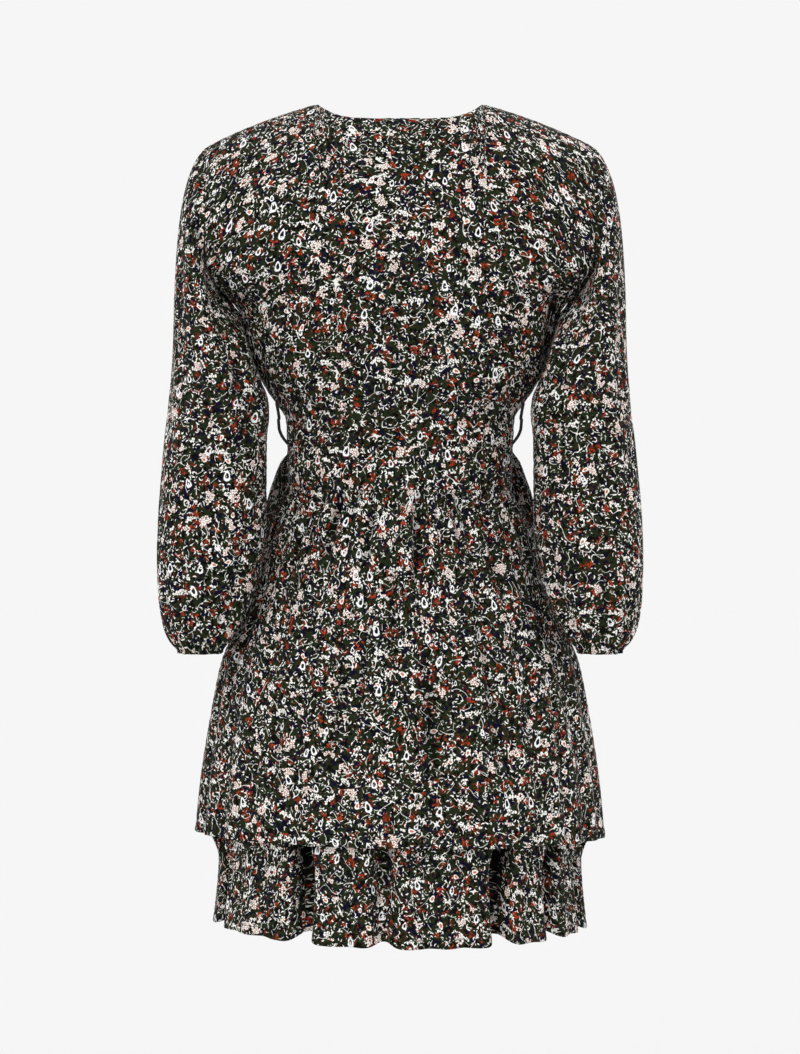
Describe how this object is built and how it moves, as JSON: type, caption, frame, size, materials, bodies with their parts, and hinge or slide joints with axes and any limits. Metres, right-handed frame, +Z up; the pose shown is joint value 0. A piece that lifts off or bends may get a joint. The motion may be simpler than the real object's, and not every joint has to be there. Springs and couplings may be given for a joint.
{
  "type": "wrap dress",
  "caption": "Mini wrap dress as worn: V wrap front, full sleeves gathered at the wrist, set-in back waistband with side belt loops, gathered two-tier skirt.",
  "frame": {"origin": "midway between the wearer's shoulders, level with the shoulder tips, where the dress is held", "axes": "+X towards the wearer's left, -Y towards the front, +Z up"},
  "size_m": [0.51, 0.328, 0.8784],
  "materials": {
    "floral_cloth": "matte woven viscose",
    "black_cord": "matte thread cord"
  },
  "bodies": {
    "root": {"back_bodice": "floral_cloth", "front_bodice_right": "floral_cloth", "front_bodice_left": "floral_cloth", "sleeve_left": "floral_cloth", "sleeve_right": "floral_cloth", "back_waistband": "floral_cloth", "back_skirt": "floral_cloth", "front_skirt_right": "floral_cloth", "front_skirt_left": "floral_cloth", "back_ruffle": "floral_cloth", "front_ruffle_right": "floral_cloth", "front_ruffle_left": "floral_cloth", "belt_loop_left": "black_cord", "belt_loop_right": "black_cord"}
  },
  "joints": []
}
